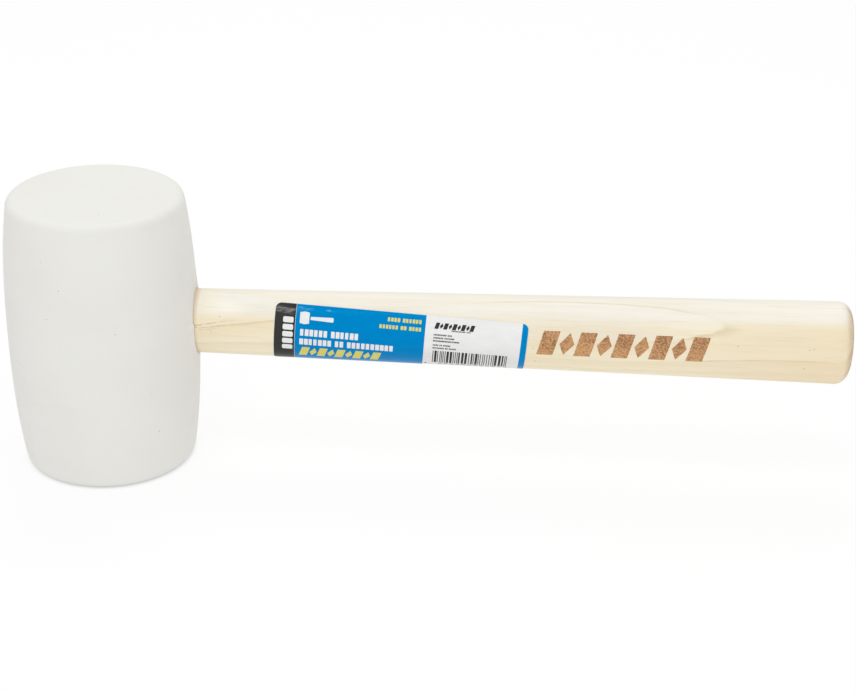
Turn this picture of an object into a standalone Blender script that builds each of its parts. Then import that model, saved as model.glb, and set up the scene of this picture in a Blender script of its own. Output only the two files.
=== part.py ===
"""A rubber mallet: a barrel-shaped rubber head on an oval hardwood handle, wedged through its eye.

Metres, +Z up. The origin is the centre of the lower striking face, +Z runs up the head's axis,
and +X runs out along the handle. The label is stuck on the handle's -Y side.
"""

import math

import bmesh
import bpy
from mathutils import Matrix

# The head, a moulded barrel
HEAD_LENGTH = 0.1335
HEAD_MID_RADIUS = 0.045
HEAD_END_RADIUS = 0.0405
HEAD_BULGE_POWER = 2.4
HEAD_RIM_ROUNDING = 0.0043
HEAD_SIDES = 64
HEAD_SIDE_STEPS = 10
RIM_STEPS = 5

# The handle, a straight oval taper; half sizes at the neck, where it leaves the head, and at the grip's end
EYE_HEIGHT = 0.0707
NECK_X = 0.045
NECK_HALF_HEIGHT = 0.0160
NECK_HALF_WIDTH = 0.0108
GRIP_END_X = 0.351
GRIP_HALF_HEIGHT = 0.0200
GRIP_HALF_WIDTH = 0.0168
GRIP_ROUNDING_LENGTH = 0.0067
GRIP_ROUNDING_DEPTH = 0.0082
GRIP_ROUNDING_STEPS = 6
TENON_END_X = -0.0438
TENON_CHAMFER = 0.0008
HANDLE_SIDES = 48
HANDLE_STEPS = 6

# The wooden wedge stands upright in the tenon's kerf, and the two steel wedges cross it
WOOD_WEDGE_LENGTH = 0.028
WOOD_WEDGE_HALF_HEIGHT = 0.0136
WOOD_WEDGE_HEAD_THICKNESS = 0.0040
WOOD_WEDGE_TIP_THICKNESS = 0.0012
KERF_HALF_HEIGHT = 0.0170
STEEL_WEDGE_LENGTH = 0.020
STEEL_WEDGE_HALF_WIDTH = 0.0055
STEEL_WEDGE_HEAD_THICKNESS = 0.0022
STEEL_WEDGE_TIP_THICKNESS = 0.0008
STEEL_WEDGE_OFFSET = 0.0070

# The label, a rounded rectangle wrapped round the handle, turned a little off the handle's line
LABEL_LENGTH = 0.1175
LABEL_HEIGHT = 0.0335
LABEL_CORNER_RADIUS = 0.003
LABEL_CENTRE_X = 0.1414
LABEL_CENTRE_DROP = 0.0041
LABEL_SKEW = math.radians(2.66)
LABEL_THICKNESS = 0.00015
LABEL_GAP = 0.00015
LABEL_CORNER_STEPS = 4
LABEL_LENGTH_STEPS = 14
LABEL_HEIGHT_STEPS = 20

# Touching pieces keep this gap
FIT_GAP = 0.0003
# A cutter runs this far past the surface it opens
CUTTER_OVERRUN = 0.004
MERGE_DISTANCE = 0.00001
SMOOTH_ANGLE = math.radians(35)
# Short steps that follow the oval's outline
WALK_STEPS = 60


def clear_scene():
    for existing in list(bpy.data.objects):
        bpy.data.objects.remove(existing, do_unlink=True)


def new_collection(name):
    collection = bpy.data.collections.new(name)
    bpy.context.scene.collection.children.link(collection)
    return collection


def new_object(name, mesh, collection):
    placed = bpy.data.objects.new(name, mesh)
    collection.objects.link(placed)
    return placed


def shade(mesh):
    """Smooth shading that keeps the sharp edges."""
    mesh.shade_smooth()
    mesh.set_sharp_from_angle(angle=SMOOTH_ANGLE)


def principled(name, colour, roughness, metallic=0.0):
    material = bpy.data.materials.new(name)
    material.use_nodes = True
    shader = material.node_tree.nodes["Principled BSDF"]
    shader.inputs["Base Color"].default_value = (*colour, 1.0)
    shader.inputs["Roughness"].default_value = roughness
    shader.inputs["Metallic"].default_value = metallic
    return material


def white_rubber():
    return principled("white_rubber", (0.80, 0.79, 0.76), 0.85)


def pale_hardwood():
    return principled("pale_hardwood", (0.83, 0.73, 0.54), 0.6)


def wedge_hardwood():
    return principled("wedge_hardwood", (0.62, 0.45, 0.26), 0.65)


def wedge_steel():
    return principled("wedge_steel", (0.45, 0.45, 0.46), 0.45, metallic=1.0)


def label_vinyl():
    return principled("label_vinyl", (0.04, 0.25, 0.60), 0.3)


def turned_mesh(name, profile, sides):
    """Turns a profile of (radius, height) points, listed top to bottom, once round the Z axis."""
    outline = bpy.data.meshes.new(name + "_profile")
    points = [(radius, 0.0, height) for radius, height in profile]
    edges = [(i, i + 1) for i in range(len(points) - 1)]
    outline.from_pydata(points, edges, [])
    blank = bpy.data.objects.new(name + "_blank", outline)
    bpy.context.scene.collection.objects.link(blank)

    screw = blank.modifiers.new("turn", "SCREW")
    screw.steps = sides
    screw.render_steps = sides
    screw.use_merge_vertices = True
    screw.merge_threshold = MERGE_DISTANCE
    evaluated = blank.evaluated_get(bpy.context.evaluated_depsgraph_get())
    mesh = bpy.data.meshes.new_from_object(evaluated)
    mesh.name = name
    bpy.data.objects.remove(blank, do_unlink=True)
    return mesh


def barrel_radius(height):
    """Radius of the head's side at this height above its middle."""
    reach = abs(height) / (HEAD_LENGTH / 2)
    return HEAD_END_RADIUS + (HEAD_MID_RADIUS - HEAD_END_RADIUS) * (1 - reach**HEAD_BULGE_POWER)


def barrel_profile():
    """The head's outline from the upper face's centre to the lower one's, about its middle."""
    half = HEAD_LENGTH / 2
    end_slope = (HEAD_MID_RADIUS - HEAD_END_RADIUS) * HEAD_BULGE_POWER / half
    side_angle = math.atan(end_slope)
    side_top = half - HEAD_RIM_ROUNDING * (1 - math.sin(side_angle))
    rim_centre = barrel_radius(side_top) - HEAD_RIM_ROUNDING * math.cos(side_angle)

    upper = [(0.0, half)]
    for step in range(RIM_STEPS + 1):
        angle = math.pi / 2 + (side_angle - math.pi / 2) * step / RIM_STEPS
        radius = rim_centre + HEAD_RIM_ROUNDING * math.cos(angle)
        upper.append((radius, half - HEAD_RIM_ROUNDING * (1 - math.sin(angle))))
    for step in range(1, HEAD_SIDE_STEPS // 2):
        height = side_top * (1 - step / (HEAD_SIDE_STEPS / 2))
        upper.append((barrel_radius(height), height))
    middle = [(HEAD_MID_RADIUS, 0.0)]
    lower = [(radius, -height) for radius, height in reversed(upper)]
    return upper + middle + lower


def oval_half_height(x):
    """Half the handle's height at x, on the straight taper that also runs through the head."""
    along = (x - NECK_X) / (GRIP_END_X - NECK_X)
    return NECK_HALF_HEIGHT + (GRIP_HALF_HEIGHT - NECK_HALF_HEIGHT) * along


def oval_half_width(x):
    along = (x - NECK_X) / (GRIP_END_X - NECK_X)
    return NECK_HALF_WIDTH + (GRIP_HALF_WIDTH - NECK_HALF_WIDTH) * along


def oval_bar_mesh(name, profile):
    """A bar along +X, turned round from (half height, x) points and then flattened to the oval."""
    mesh = turned_mesh(name, profile, HANDLE_SIDES)
    for vertex in mesh.vertices:
        vertex.co.y *= oval_half_width(vertex.co.z) / oval_half_height(vertex.co.z)
    mesh.transform(Matrix.Rotation(math.radians(90), 4, "Y"))
    return mesh


def handle_profile():
    """The handle's outline from the grip's end to the tenon's end."""
    profile = [(0.0, GRIP_END_X)]
    rounding_start = GRIP_END_X - GRIP_ROUNDING_LENGTH
    end_half_height = oval_half_height(rounding_start) - GRIP_ROUNDING_DEPTH
    for step in range(GRIP_ROUNDING_STEPS + 1):
        angle = math.pi / 2 * (1 - step / GRIP_ROUNDING_STEPS)
        half_height = end_half_height + GRIP_ROUNDING_DEPTH * math.cos(angle)
        profile.append((half_height, rounding_start + GRIP_ROUNDING_LENGTH * math.sin(angle)))
    chamfer_x = TENON_END_X + TENON_CHAMFER
    for step in range(1, HANDLE_STEPS + 1):
        x = rounding_start + (chamfer_x - rounding_start) * step / HANDLE_STEPS
        profile.append((oval_half_height(x), x))
    profile.append((oval_half_height(TENON_END_X) - TENON_CHAMFER, TENON_END_X))
    profile.append((0.0, TENON_END_X))
    return profile


def eye_profile():
    """The eye's cutter: the handle's taper with its gap, run out past both sides of the head."""
    reach = HEAD_MID_RADIUS + CUTTER_OVERRUN
    near = oval_half_height(reach) + FIT_GAP
    far = oval_half_height(-reach) + FIT_GAP
    return [(0.0, reach), (near, reach), (far, -reach), (0.0, -reach)]


def wedge_mesh(name, length, half_height, half_head, half_tip, gap=0.0, overrun=0.0):
    """A wedge with its head at x = 0, its tip towards +X and its thickness in Y.

    A gap widens it all round for a cutter, and an overrun carries its head on towards -X.
    """
    thinning = (half_head - half_tip) / length
    start = -overrun
    end = length + gap
    outline = bmesh.new()
    bmesh.ops.create_cube(outline, size=2.0)
    for vertex in outline.verts:
        x = end if vertex.co.x > 0 else start
        vertex.co.x = x
        vertex.co.y *= half_head - thinning * x + gap
        vertex.co.z *= half_height + gap
    mesh = bpy.data.meshes.new(name)
    outline.to_mesh(mesh)
    outline.free()
    return mesh


def make_cutter(name, mesh, collection):
    cutter = new_object(name, mesh, collection)
    cutter.display_type = "WIRE"
    cutter.hide_render = True
    return cutter


def cut(target, cutter):
    boolean = target.modifiers.new(cutter.name, "BOOLEAN")
    boolean.operation = "DIFFERENCE"
    boolean.object = cutter


def make_head(parts, cutters):
    mesh = turned_mesh("head", barrel_profile(), HEAD_SIDES)
    shade(mesh)
    head = new_object("head", mesh, parts)
    head.location.z = HEAD_LENGTH / 2
    head.data.materials.append(white_rubber())

    eye = make_cutter("eye_cutter", oval_bar_mesh("eye_cutter", eye_profile()), cutters)
    eye.location.z = EYE_HEIGHT
    cut(head, eye)


def make_handle(parts):
    mesh = oval_bar_mesh("handle", handle_profile())
    shade(mesh)
    handle = new_object("handle", mesh, parts)
    handle.location.z = EYE_HEIGHT
    handle.data.materials.append(pale_hardwood())
    return handle


def make_wood_wedge(parts):
    mesh = wedge_mesh(
        "wood_wedge",
        WOOD_WEDGE_LENGTH,
        WOOD_WEDGE_HALF_HEIGHT,
        WOOD_WEDGE_HEAD_THICKNESS / 2,
        WOOD_WEDGE_TIP_THICKNESS / 2,
    )
    wedge = new_object("wood_wedge", mesh, parts)
    wedge.location = (TENON_END_X, 0, EYE_HEIGHT)
    wedge.data.materials.append(wedge_hardwood())
    return wedge


def cut_kerf(handle, cutters):
    mesh = wedge_mesh(
        "kerf_cutter",
        WOOD_WEDGE_LENGTH,
        KERF_HALF_HEIGHT,
        WOOD_WEDGE_HEAD_THICKNESS / 2,
        WOOD_WEDGE_TIP_THICKNESS / 2,
        gap=FIT_GAP,
        overrun=CUTTER_OVERRUN,
    )
    kerf = make_cutter("kerf_cutter", mesh, cutters)
    kerf.location = (TENON_END_X, 0, EYE_HEIGHT)
    cut(handle, kerf)


def steel_wedge_mesh(name, gap=0.0, overrun=0.0):
    return wedge_mesh(
        name,
        STEEL_WEDGE_LENGTH,
        STEEL_WEDGE_HALF_WIDTH,
        STEEL_WEDGE_HEAD_THICKNESS / 2,
        STEEL_WEDGE_TIP_THICKNESS / 2,
        gap,
        overrun,
    )


def make_steel_wedges(parts, cutters, handle, wood_wedge):
    """Two equal wedges that lie across the wooden one, each driven into the tenon and through it."""
    steel = wedge_steel()
    wedge_shape = steel_wedge_mesh("steel_wedge")
    wedge_shape.materials.append(steel)
    slot_shape = steel_wedge_mesh("wedge_slot", gap=FIT_GAP, overrun=CUTTER_OVERRUN)
    for place, offset in (("upper", STEEL_WEDGE_OFFSET), ("lower", -STEEL_WEDGE_OFFSET)):
        wedge = new_object("steel_wedge_" + place, wedge_shape, parts)
        slot = make_cutter("wedge_slot_" + place, slot_shape, cutters)
        for placed in (wedge, slot):
            placed.location = (TENON_END_X, 0, EYE_HEIGHT + offset)
            placed.rotation_euler.x = math.radians(90)
        cut(handle, slot)
        cut(wood_wedge, slot)


def angle_after(x, arc):
    """Angle from the handle's top once this arc is walked down its outline from the -Y side."""
    angle = math.pi / 2
    for _ in range(WALK_STEPS):
        turn_radius = math.hypot(
            oval_half_height(x) * math.sin(angle),
            oval_half_width(x) * math.cos(angle),
        )
        angle += arc / WALK_STEPS / turn_radius
    return angle


def on_handle(x, angle, clearance):
    """A point beside the handle's surface, its angle counted from the top towards -Y."""
    y = -(oval_half_width(x) + clearance) * math.sin(angle)
    z = (oval_half_height(x) + clearance) * math.cos(angle)
    return x, y, z


def wrapped(along, down):
    """Where a point of the flat label lands, from its distances right of and below its centre."""
    x = LABEL_CENTRE_X + along * math.cos(LABEL_SKEW) - down * math.sin(LABEL_SKEW)
    arc = LABEL_CENTRE_DROP + down * math.cos(LABEL_SKEW) + along * math.sin(LABEL_SKEW)
    return on_handle(x, angle_after(x, arc), LABEL_GAP)


def label_rows():
    """(distance along, half height) of the label's rows, which shorten round its corners."""
    straight_half = LABEL_LENGTH / 2 - LABEL_CORNER_RADIUS
    corner = []
    for step in range(LABEL_CORNER_STEPS):
        angle = math.pi / 2 * (1 - step / LABEL_CORNER_STEPS)
        along = straight_half + LABEL_CORNER_RADIUS * math.sin(angle)
        cut_back = LABEL_CORNER_RADIUS * (1 - math.cos(angle))
        corner.append((along, LABEL_HEIGHT / 2 - cut_back))
    rows = [(-along, half_height) for along, half_height in corner]
    for step in range(LABEL_LENGTH_STEPS + 1):
        along = straight_half * (2 * step / LABEL_LENGTH_STEPS - 1)
        rows.append((along, LABEL_HEIGHT / 2))
    rows.extend(reversed(corner))
    return rows


def make_label(parts):
    """A flat grid wrapped round the handle, with its thickness added outwards."""
    rows = label_rows()
    sheet = bmesh.new()
    bmesh.ops.create_grid(
        sheet,
        x_segments=len(rows) - 1,
        y_segments=LABEL_HEIGHT_STEPS,
        size=1.0,
    )
    for vertex in sheet.verts:
        row = round((vertex.co.x + 1) / 2 * (len(rows) - 1))
        along, half_height = rows[row]
        vertex.co = wrapped(along, -vertex.co.y * half_height)
    mesh = bpy.data.meshes.new("label")
    sheet.to_mesh(mesh)
    sheet.free()
    shade(mesh)

    label = new_object("label", mesh, parts)
    label.location.z = EYE_HEIGHT
    label.data.materials.append(label_vinyl())
    solidify = label.modifiers.new("thickness", "SOLIDIFY")
    solidify.thickness = LABEL_THICKNESS
    solidify.offset = 1.0


def main():
    clear_scene()
    parts = new_collection("rubber_mallet")
    cutters = new_collection("cutters")
    make_head(parts, cutters)
    handle = make_handle(parts)
    cut_kerf(handle, cutters)
    wood_wedge = make_wood_wedge(parts)
    make_steel_wedges(parts, cutters, handle, wood_wedge)
    make_label(parts)


main()
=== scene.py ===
"""The looks of the rubber mallet: its rubber, wood, steel and printed label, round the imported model."""

import math
import random

import bmesh
import bpy
import numpy as np
from mathutils import Matrix, Vector, noise


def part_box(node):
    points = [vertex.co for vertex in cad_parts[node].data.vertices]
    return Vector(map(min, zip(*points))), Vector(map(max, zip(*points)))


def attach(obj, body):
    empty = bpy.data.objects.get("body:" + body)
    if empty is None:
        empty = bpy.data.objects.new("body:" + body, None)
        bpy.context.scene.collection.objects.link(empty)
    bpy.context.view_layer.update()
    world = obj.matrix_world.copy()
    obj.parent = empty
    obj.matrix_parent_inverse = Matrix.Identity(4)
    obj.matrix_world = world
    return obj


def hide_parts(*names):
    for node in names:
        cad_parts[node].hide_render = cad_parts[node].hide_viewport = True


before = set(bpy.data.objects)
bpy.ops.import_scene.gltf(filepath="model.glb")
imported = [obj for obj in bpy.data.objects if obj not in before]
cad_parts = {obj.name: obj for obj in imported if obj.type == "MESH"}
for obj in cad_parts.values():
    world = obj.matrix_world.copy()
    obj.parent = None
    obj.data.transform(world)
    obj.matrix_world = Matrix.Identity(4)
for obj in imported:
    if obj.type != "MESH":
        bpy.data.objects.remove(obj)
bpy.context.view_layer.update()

METRE = 1.0
MM = 0.001 * METRE

# The head, read from its CAD node where that gives the size
head_low, head_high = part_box("head")
HEAD_LENGTH = head_high.z - head_low.z
SKIN_ALLOWANCE = 0.08 * MM
HEAD_MID_RADIUS = head_high.y - SKIN_ALLOWANCE
HEAD_BULGE = 4.5 * MM
HEAD_BULGE_POWER = 2.4
HEAD_RIM_ROUNDING = 4.3 * MM
FACE_CENTRE_GAP = 0.8 * MM

# The rubber round the eye: its rounded edge, how far the tenon swells it, and a small pinched notch
EYE_LIP_ROUNDING = 0.6 * MM
EYE_SWELL = 0.3 * MM
EYE_SIDE_SWELL = 1.2 * MM
EYE_SWELL_REACH = 4 * MM
EYE_LOWER_SWELL = 0.6 * MM
EYE_NOTCH = 0.45 * MM
EYE_NOTCH_HEIGHT = 2.4 * MM
EYE_NOTCH_REACH = 1.2 * MM
EYE_SHIFT_REACH = 40 * MM

# The handle's oval taper, the same as the CAD handle's
handle_low, handle_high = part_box("handle")
TENON_END_X = handle_low.x
GRIP_END_X = handle_high.x
EYE_HEIGHT = (handle_low.z + handle_high.z) / 2
NECK_X = 45 * MM
NECK_HALF_HEIGHT = 16 * MM
NECK_HALF_WIDTH = 10.8 * MM
GRIP_HALF_HEIGHT = 20 * MM
GRIP_HALF_WIDTH = 16.8 * MM
GRIP_ROUNDING_LENGTH = 6.7 * MM
GRIP_ROUNDING_DEPTH = 8.2 * MM
GRIP_ROUNDING_START = GRIP_END_X - GRIP_ROUNDING_LENGTH
TENON_CHAMFER = 0.5 * MM
EYE_GAP = 0.05 * MM

# The wedges and the kerf: length, half height, and half thickness at the head and at the tip
WOOD_WEDGE = (28 * MM, 13.6 * MM, 2.0 * MM, 0.6 * MM)
KERF = (28 * MM, 17 * MM, 2.0 * MM, 0.6 * MM)
STEEL_WEDGE = (20 * MM, 5.5 * MM, 1.1 * MM, 0.4 * MM)
STEEL_WEDGE_OFFSET = 7 * MM
WEDGE_GAP = 0.06 * MM
STRUCK_REACH = 3 * MM
CUTTER_OVERRUN = 4 * MM
CUTTER_STEP = 8 * MM

# The label, a flat rounded rectangle before it is wrapped on
LABEL_LENGTH = 117.9 * MM
LABEL_HEIGHT = 33.5 * MM
LABEL_CORNER_RADIUS = 3 * MM
LABEL_CENTRE_X = 141.55 * MM
LABEL_CENTRE_DROP = 4.1 * MM
LABEL_SKEW = math.radians(2.66)
LABEL_LEAN = 0.023
LABEL_LEAN_GROWTH = 0.16 / METRE
LABEL_GAP = 0.04 * MM
LABEL_THICKNESS = 0.13 * MM
LABEL_RIPPLE = 0.025 * MM
INK_GAP = 0.005 * MM
INK_THICKNESS = 0.012 * MM
FILM_STEP_DOWN = 0.6 * MM
FILM_STEP_ALONG = 2.5 * MM
FILM_SNAP = 0.0001 * MM
WALK_STEPS = 60

# The mark burnt into the grip: its middle, its height, how far it reaches either way, and its depth
MARK_X = 245.2 * MM
MARK_DROP = -1.0 * MM
MARK_HEIGHT = 12.3 * MM
MARK_REACH = 41.5 * MM
BURN_DEPTH = 0.12 * MM
BURN_EDGE = 0.3 * MM

# The plain motif that stands in for a mark, in units of its height
MOTIF_PITCH = 0.70
MOTIF_BAR_HALF = 0.31
MOTIF_LOZENGE_HALF = 0.28
MOTIF_LOZENGE_RISE = 0.46
MOTIF_SLANT = 0.28

SMOOTH_ANGLE = math.radians(40)

# How far apart the rings and points of the head and handle lie, and where they lie closer
HEAD_STEP = 1.8 * MM
HEAD_SIDE_STEP = 1.6 * MM
HEAD_EYE_STEP = 0.4 * MM
HEAD_TURN = math.radians(2.5)
HEAD_EYE_TURN = math.radians(0.5)
HEAD_EYE_HALF_TURN = math.radians(20)
ROUNDING_TURN = math.radians(5)
EYE_MARGIN = 3 * MM
HANDLE_STEP = 2.5 * MM
TENON_STEP = 3 * MM
SPLIT_STEP = 0.35 * MM
SPLIT_FINE_START = 44 * MM
SPLIT_FINE_END = 85 * MM
MARK_STEP = 0.32 * MM
HANDLE_TURN = math.radians(3.2)
HANDLE_FINE_TURN = math.radians(1.05)
HANDLE_FINE_START = math.radians(56)
HANDLE_FINE_END = math.radians(118)


# ---- node helpers


def new_material(name):
    """The material, its node tree, its shader, and a socket that gives each point's place."""
    material = bpy.data.materials.new(name)
    material.use_nodes = True
    tree = material.node_tree
    place = put(tree, "TexCoord").outputs["Object"]
    return material, tree, tree.nodes["Principled BSDF"], place


def put(tree, kind, inputs=None, **settings):
    """Adds a shader node, sets its properties, and links or sets its inputs."""
    made = tree.nodes.new("ShaderNode" + kind)
    for name, value in settings.items():
        setattr(made, name, value)
    for key, value in (inputs or {}).items():
        feed(tree, made.inputs[key], value)
    return made


def feed(tree, socket, value):
    if isinstance(value, bpy.types.NodeSocket):
        tree.links.new(value, socket)
    else:
        socket.default_value = value


def maths(tree, operation, *values):
    return put(tree, "Math", dict(enumerate(values)), operation=operation).outputs[0]


def step_up(tree, value, low, high, lowest=0.0, highest=1.0):
    """Rises smoothly from lowest to highest as the value passes from low to high."""
    inputs = {"Value": value, "From Min": low, "From Max": high, "To Min": lowest, "To Max": highest}
    return put(tree, "MapRange", inputs, interpolation_type="SMOOTHSTEP").outputs["Result"]


def coordinates(tree, vector):
    """The x, y and z of a vector, as three sockets."""
    return put(tree, "SeparateXYZ", {0: vector}).outputs


def stretched(tree, vector, x, y=1, z=1):
    return put(tree, "VectorMath", {0: vector, 1: (x, y, z)}, operation="MULTIPLY").outputs[0]


def length_of(tree, vector):
    return put(tree, "VectorMath", {0: vector}, operation="LENGTH").outputs["Value"]


def speckle(tree, vector, scale, detail=2.0, roughness=0.5):
    inputs = {"Vector": vector, "Scale": scale, "Detail": detail, "Roughness": roughness}
    return put(tree, "TexNoise", inputs).outputs["Fac"]


def grained(tree, place, along, *settings):
    """Noise drawn out along the grain, more so the smaller along is."""
    return speckle(tree, stretched(tree, place, along), *settings)


def times(tree, first, second):
    return maths(tree, "MULTIPLY", first, second)


def add_scaled(tree, base, pattern, strength):
    """The base plus so much of the pattern."""
    return maths(tree, "MULTIPLY_ADD", pattern, strength, base)


def swayed(tree, base, pattern, reach):
    """The base, moved up and down by a pattern about its middle."""
    return add_scaled(tree, base, maths(tree, "SUBTRACT", pattern, 0.5), reach)


def opaque(colour):
    """Adds full alpha to a red, green and blue triple; a socket stays as it is."""
    return (*colour, 1) if isinstance(colour, tuple) else colour


def blend(tree, factor, first, second):
    made = put(tree, "Mix", data_type="RGBA", blend_type="MIX")
    feed(tree, made.inputs[0], factor)
    feed(tree, made.inputs[6], opaque(first))
    feed(tree, made.inputs[7], opaque(second))
    return made.outputs[2]


def tinted(tree, base, pattern, low, high, strength, colour):
    """The base colour, blended towards another as the pattern passes from low to high."""
    return blend(tree, step_up(tree, pattern, low, high, 0, strength), base, colour)


def veined(tree, base, mask, strength, colour):
    """The base colour, blended towards another wherever the mask is set."""
    return blend(tree, times(tree, mask, strength), base, colour)


def cells(tree, vector, scale):
    """Scattered points: how far away the nearest one is, and a chance value of its own."""
    scatter = put(tree, "TexVoronoi", {"Vector": vector, "Scale": scale}, feature="F1")
    chance = put(tree, "SeparateColor", {0: scatter.outputs["Color"]}).outputs[0]
    return scatter.outputs["Distance"], chance


def dress(tree, shader, base, roughness, height, depth, strength):
    """Gives a shader its colour and roughness, and a bump of this depth and strength."""
    inputs = {"Height": height, "Distance": depth, "Strength": strength}
    feed(tree, shader.inputs["Base Color"], base)
    feed(tree, shader.inputs["Roughness"], roughness)
    feed(tree, shader.inputs["Normal"], put(tree, "Bump", inputs).outputs["Normal"])


# ---- materials


def white_rubber():
    """Matt off-white rubber: faint clouding, fine moulded grain, and a few dark specks of grit."""
    material, tree, shader, place = new_material("white_rubber")
    clouds = speckle(tree, place, 28, 3)
    patches = speckle(tree, place, 160, 4, 0.6)
    base = tinted(tree, (0.748, 0.736, 0.701), clouds, 0.35, 0.65, 1, (0.760, 0.754, 0.721))
    base = tinted(tree, base, patches, 0.45, 0.75, 0.25, (0.725, 0.716, 0.682))

    away, darkness = cells(tree, place, 130.0)
    near = step_up(tree, away, 0.022, 0.041, 1, 0)
    grit = times(tree, near, maths(tree, "POWER", darkness, 2.5))
    base = blend(tree, grit, base, (0.17, 0.155, 0.135))

    rough = step_up(tree, patches, 0.3, 0.8, 0.52, 0.66)
    shader.inputs["Specular IOR Level"].default_value = 0.15
    grain = speckle(tree, place, 1600, 2, 0.6)
    swirls = speckle(tree, place, 260, 3)
    height = add_scaled(tree, add_scaled(tree, grain, swirls, 2.5), grit, -3.0)
    dress(tree, shader, base, rough, height, 0.03 * MM, 0.6)
    return material


# The trunk's pith, off behind the handle and below it, and how the growth rings sway along the handle
PITH_DISTANCE = 55 * MM
PITH_ANGLE = math.radians(59.4)
PITH_Y = PITH_DISTANCE * math.sin(PITH_ANGLE)
PITH_Z = EYE_HEIGHT - PITH_DISTANCE * math.cos(PITH_ANGLE)
RING_DRIFT = 0.0186
SWAY_PEAK_X = 20 * MM
SWAY_LENGTH = 207 * MM
SWAY_DEPTH = 1.2 * MM
RING_WANDER = 0.7 * MM
RING_RAGGED = 0.5 * MM
RING_SPACING = 4.6 * MM
RING_EDGE = 65.75 * MM
RING_NECK_RISE = 0.35 * MM
RING_NECK_END = 85 * MM
RING_GRIP_FALL = 0.25 * MM
RING_GRIP_START = 255 * MM
RING_GRIP_END = 290 * MM
FIRST_RING = 20.0


def ring_depth(tree, place):
    """How many growth rings out from the pith a point lies, a whole number at each ring's edge."""
    x = coordinates(tree, place)[0]
    pith = put(tree, "CombineXYZ", {0: x, 1: PITH_Y, 2: PITH_Z}).outputs[0]
    away = put(tree, "VectorMath", {0: place, 1: pith}, operation="DISTANCE").outputs["Value"]
    turn = times(tree, maths(tree, "SUBTRACT", x, SWAY_PEAK_X), 2 * math.pi / SWAY_LENGTH)
    swaying = add_scaled(tree, away, maths(tree, "COSINE", turn), SWAY_DEPTH)
    drifting = add_scaled(tree, swaying, x, -RING_DRIFT)
    wander = grained(tree, place, 0.2, 75, 2)
    ragged = grained(tree, place, 0.06, 800, 3, 0.6)
    depth = swayed(tree, swayed(tree, drifting, wander, RING_WANDER), ragged, RING_RAGGED)
    depth = maths(tree, "ADD", depth, step_up(tree, x, NECK_X, RING_NECK_END, RING_NECK_RISE, 0))
    fall = step_up(tree, x, RING_GRIP_START, RING_GRIP_END, 0, RING_GRIP_FALL)
    depth = maths(tree, "SUBTRACT", depth, fall)
    rings = maths(tree, "DIVIDE", maths(tree, "SUBTRACT", depth, RING_EDGE), RING_SPACING)
    return maths(tree, "ADD", rings, FIRST_RING)


# Small dark knots: how far along the handle, and how far below its side line, in millimetres
KNOTS = (
    (57.4, -7.2),
    (53.2, 0.2),
    (203.9, 1.7),
    (205.0, 9.4),
    (297.6, -3.7),
    (330.3, -3.3),
    (332.3, -3.8),
    (328.7, 6.7),
)
KNOT_CORE = 0.15 * MM
KNOT_REACH = 0.62 * MM

# The paler sapwood along the handle's top, partly a painted sheen where the top catches the light: how its
# edge climbs towards the grip, and how soft it is
SAP_AND_SHEEN_SLOPE = 0.023
SAP_AND_SHEEN_START = 3.6 * MM
SAP_AND_SHEEN_FULL = 9.1 * MM
SAP_AND_SHEEN_WANDER = 5 * MM

# Broad patches: one where the wood is a little darker, and a painted highlight where it is a little
# brighter: placed as a knot is, then the factors on distances along the grain and across it
TONED_PATCH = (232, -6, 0.14, 0.8)
PAINTED_HIGHLIGHT_PATCH = (58, -10, 0.35, 1.0)
PATCH_CORE = 1.5 * MM
TONED_REACH = 8 * MM
PAINTED_HIGHLIGHT_REACH = 7 * MM

# Where the grip starts to darken, and how much it does below and above its side line
GRIP_TONE_START = 230 * MM
GRIP_TONE_FADE = 8 * MM
GRIP_TONE_BELOW = 0.7
GRIP_TONE_ABOVE = 0.15

# How much deeper the burnt mark is charred with height
BURN_RISE = 5 / METRE

# Where the rubber has stained the wood, and painted shade darkens it at the eye, as distances from the
# head's axis
STAIN_START = 45.5 * MM
STAIN_AND_SHADE_END = 48.2 * MM
YELLOWED_END = 64 * MM


def near_point(tree, place, x, drop, along=1.1, across=1.3):
    """Distance to a point of the handle's near side, scaled along and across the grain."""
    angle = angle_after(x * MM, drop * MM)
    y = -oval_half_width(x * MM) * math.sin(angle)
    z = EYE_HEIGHT + oval_half_height(x * MM) * math.cos(angle)
    away = put(tree, "VectorMath", {0: place, 1: (x * MM, y, z)}, operation="SUBTRACT").outputs[0]
    return length_of(tree, stretched(tree, away, along, across, across))


def growth(tree, place):
    """How much late wood there is at each point, and how much of the dark line that ends a ring."""
    within = maths(tree, "FRACT", ring_depth(tree, place))
    darkening = step_up(tree, within, 0.15, 0.75)
    late = times(tree, darkening, step_up(tree, within, 0.96, 0.998, 1, 0))
    rim = step_up(tree, within, 0.86, 0.95)
    line = times(tree, rim, step_up(tree, within, 0.96, 0.995, 1, 0))
    return late, line


def patch(tree, place, spot, reach):
    """A soft patch round a spot of the handle's near side."""
    return step_up(tree, near_point(tree, place, *spot), PATCH_CORE, reach, 0.8, 0)


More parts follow.
